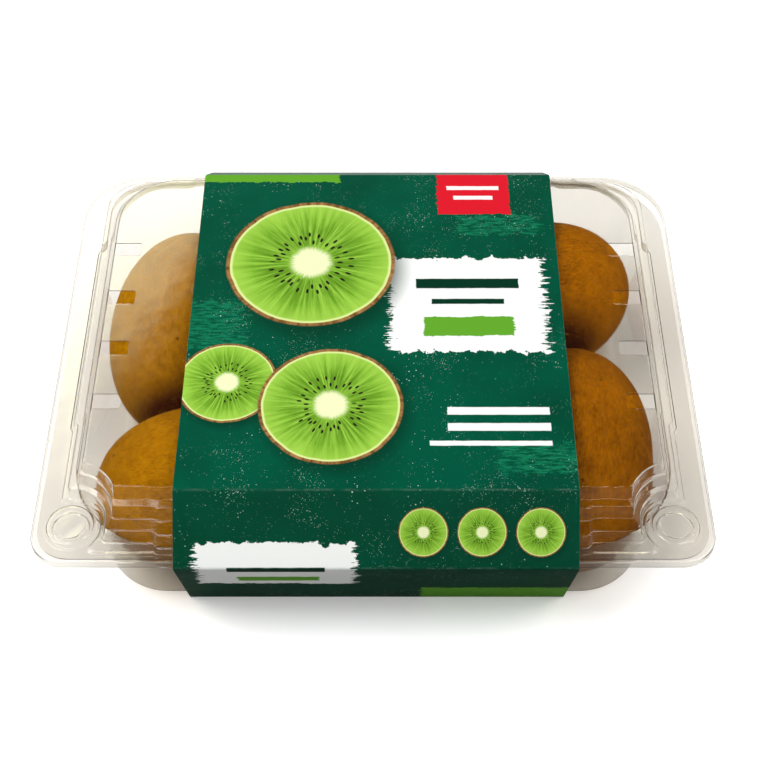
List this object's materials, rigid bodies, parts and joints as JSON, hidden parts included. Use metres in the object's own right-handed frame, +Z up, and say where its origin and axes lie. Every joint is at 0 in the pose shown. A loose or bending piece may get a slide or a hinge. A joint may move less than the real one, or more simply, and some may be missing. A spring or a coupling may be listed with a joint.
{
  "type": "clear clamshell pack of whole kiwifruit with card sleeve",
  "caption": "Shut clear plastic clamshell with whole brown kiwifruit inside, held by a printed green card sleeve.",
  "frame": {"origin": "on the ground under the middle of the pack", "axes": "+Z up, -Y towards the front with the two snap buttons, +X to the right seen from the front"},
  "size_m": [0.184, 0.1502, 0.0501],
  "materials": {
    "clear_plastic": "clear formed sheet, glossy",
    "printed_card": "printed coated card, satin",
    "fruit_skin": "brown skin with short fine hairs"
  },
  "bodies": {
    "root": {"clamshell": "clear_plastic", "sleeve": "printed_card", "fruit_back_left": "fruit_skin", "fruit_back_middle": "fruit_skin", "fruit_back_right": "fruit_skin", "fruit_front_left": "fruit_skin", "fruit_front_middle": "fruit_skin", "fruit_front_right": "fruit_skin"}
  },
  "joints": []
}
